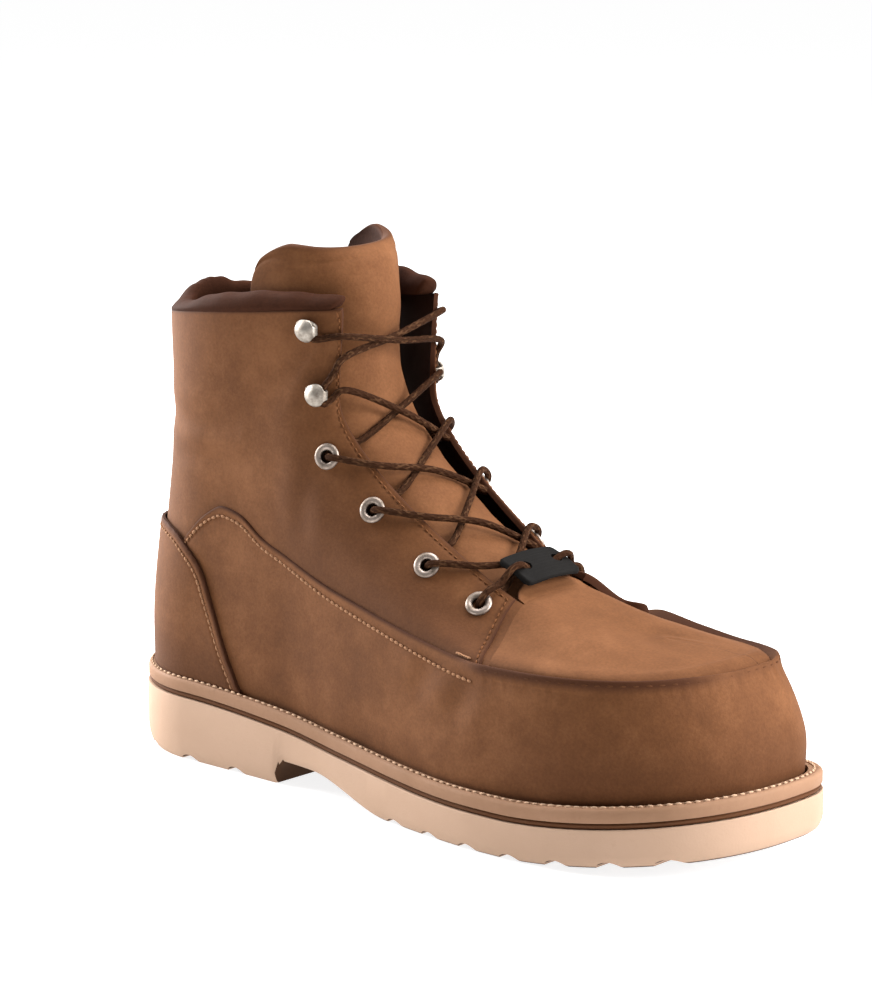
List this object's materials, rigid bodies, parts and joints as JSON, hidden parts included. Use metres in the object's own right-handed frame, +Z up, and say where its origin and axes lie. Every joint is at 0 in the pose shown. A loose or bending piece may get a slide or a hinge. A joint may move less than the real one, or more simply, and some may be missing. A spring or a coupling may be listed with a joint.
{
  "type": "safety shoe",
  "caption": "Right-foot lace-up leather work boot with moc toe, padded collar, tongue, metal eyelets and hooks, and a cream sole with heel, arch, toe spring and cross channels.",
  "frame": {"origin": "on the floor under the middle of the shoe's bounding box", "axes": "+X from heel to toe, +Y to the inner (medial) side, +Z up"},
  "size_m": [0.31, 0.114, 0.212],
  "materials": {
    "leather": "matte brown nubuck",
    "collar_leather": "soft dark leather",
    "cream_rubber": "matte cream polyurethane",
    "midsole_brown": "matte dark brown",
    "welt_tan": "matte tan, stitched",
    "insole_board": "matte",
    "nickel": "antique nickel",
    "lace_brown": "woven round lace",
    "keeper_grey": "matte dark grey"
  },
  "bodies": {
    "root": {"outsole": "cream_rubber", "midsole": "midsole_brown", "welt": "welt_tan", "insole": "insole_board", "upper": "leather", "heel_counter": "leather", "collar": "collar_leather", "tongue": "leather", "eyelet_lat_1": "nickel", "eyelet_lat_2": "nickel", "eyelet_lat_3": "nickel", "eyelet_lat_4": "nickel", "eyelet_med_1": "nickel", "eyelet_med_2": "nickel", "eyelet_med_3": "nickel", "eyelet_med_4": "nickel", "hook_lat_1": "nickel", "hook_lat_2": "nickel", "hook_med_1": "nickel", "hook_med_2": "nickel", "lace_bar": "lace_brown", "lace_cross_1": "lace_brown", "lace_cross_2": "lace_brown", "lace_cross_3": "lace_brown", "lace_cross_4": "lace_brown", "lace_cross_5": "lace_brown", "lace_keeper": "keeper_grey"}
  },
  "joints": []
}
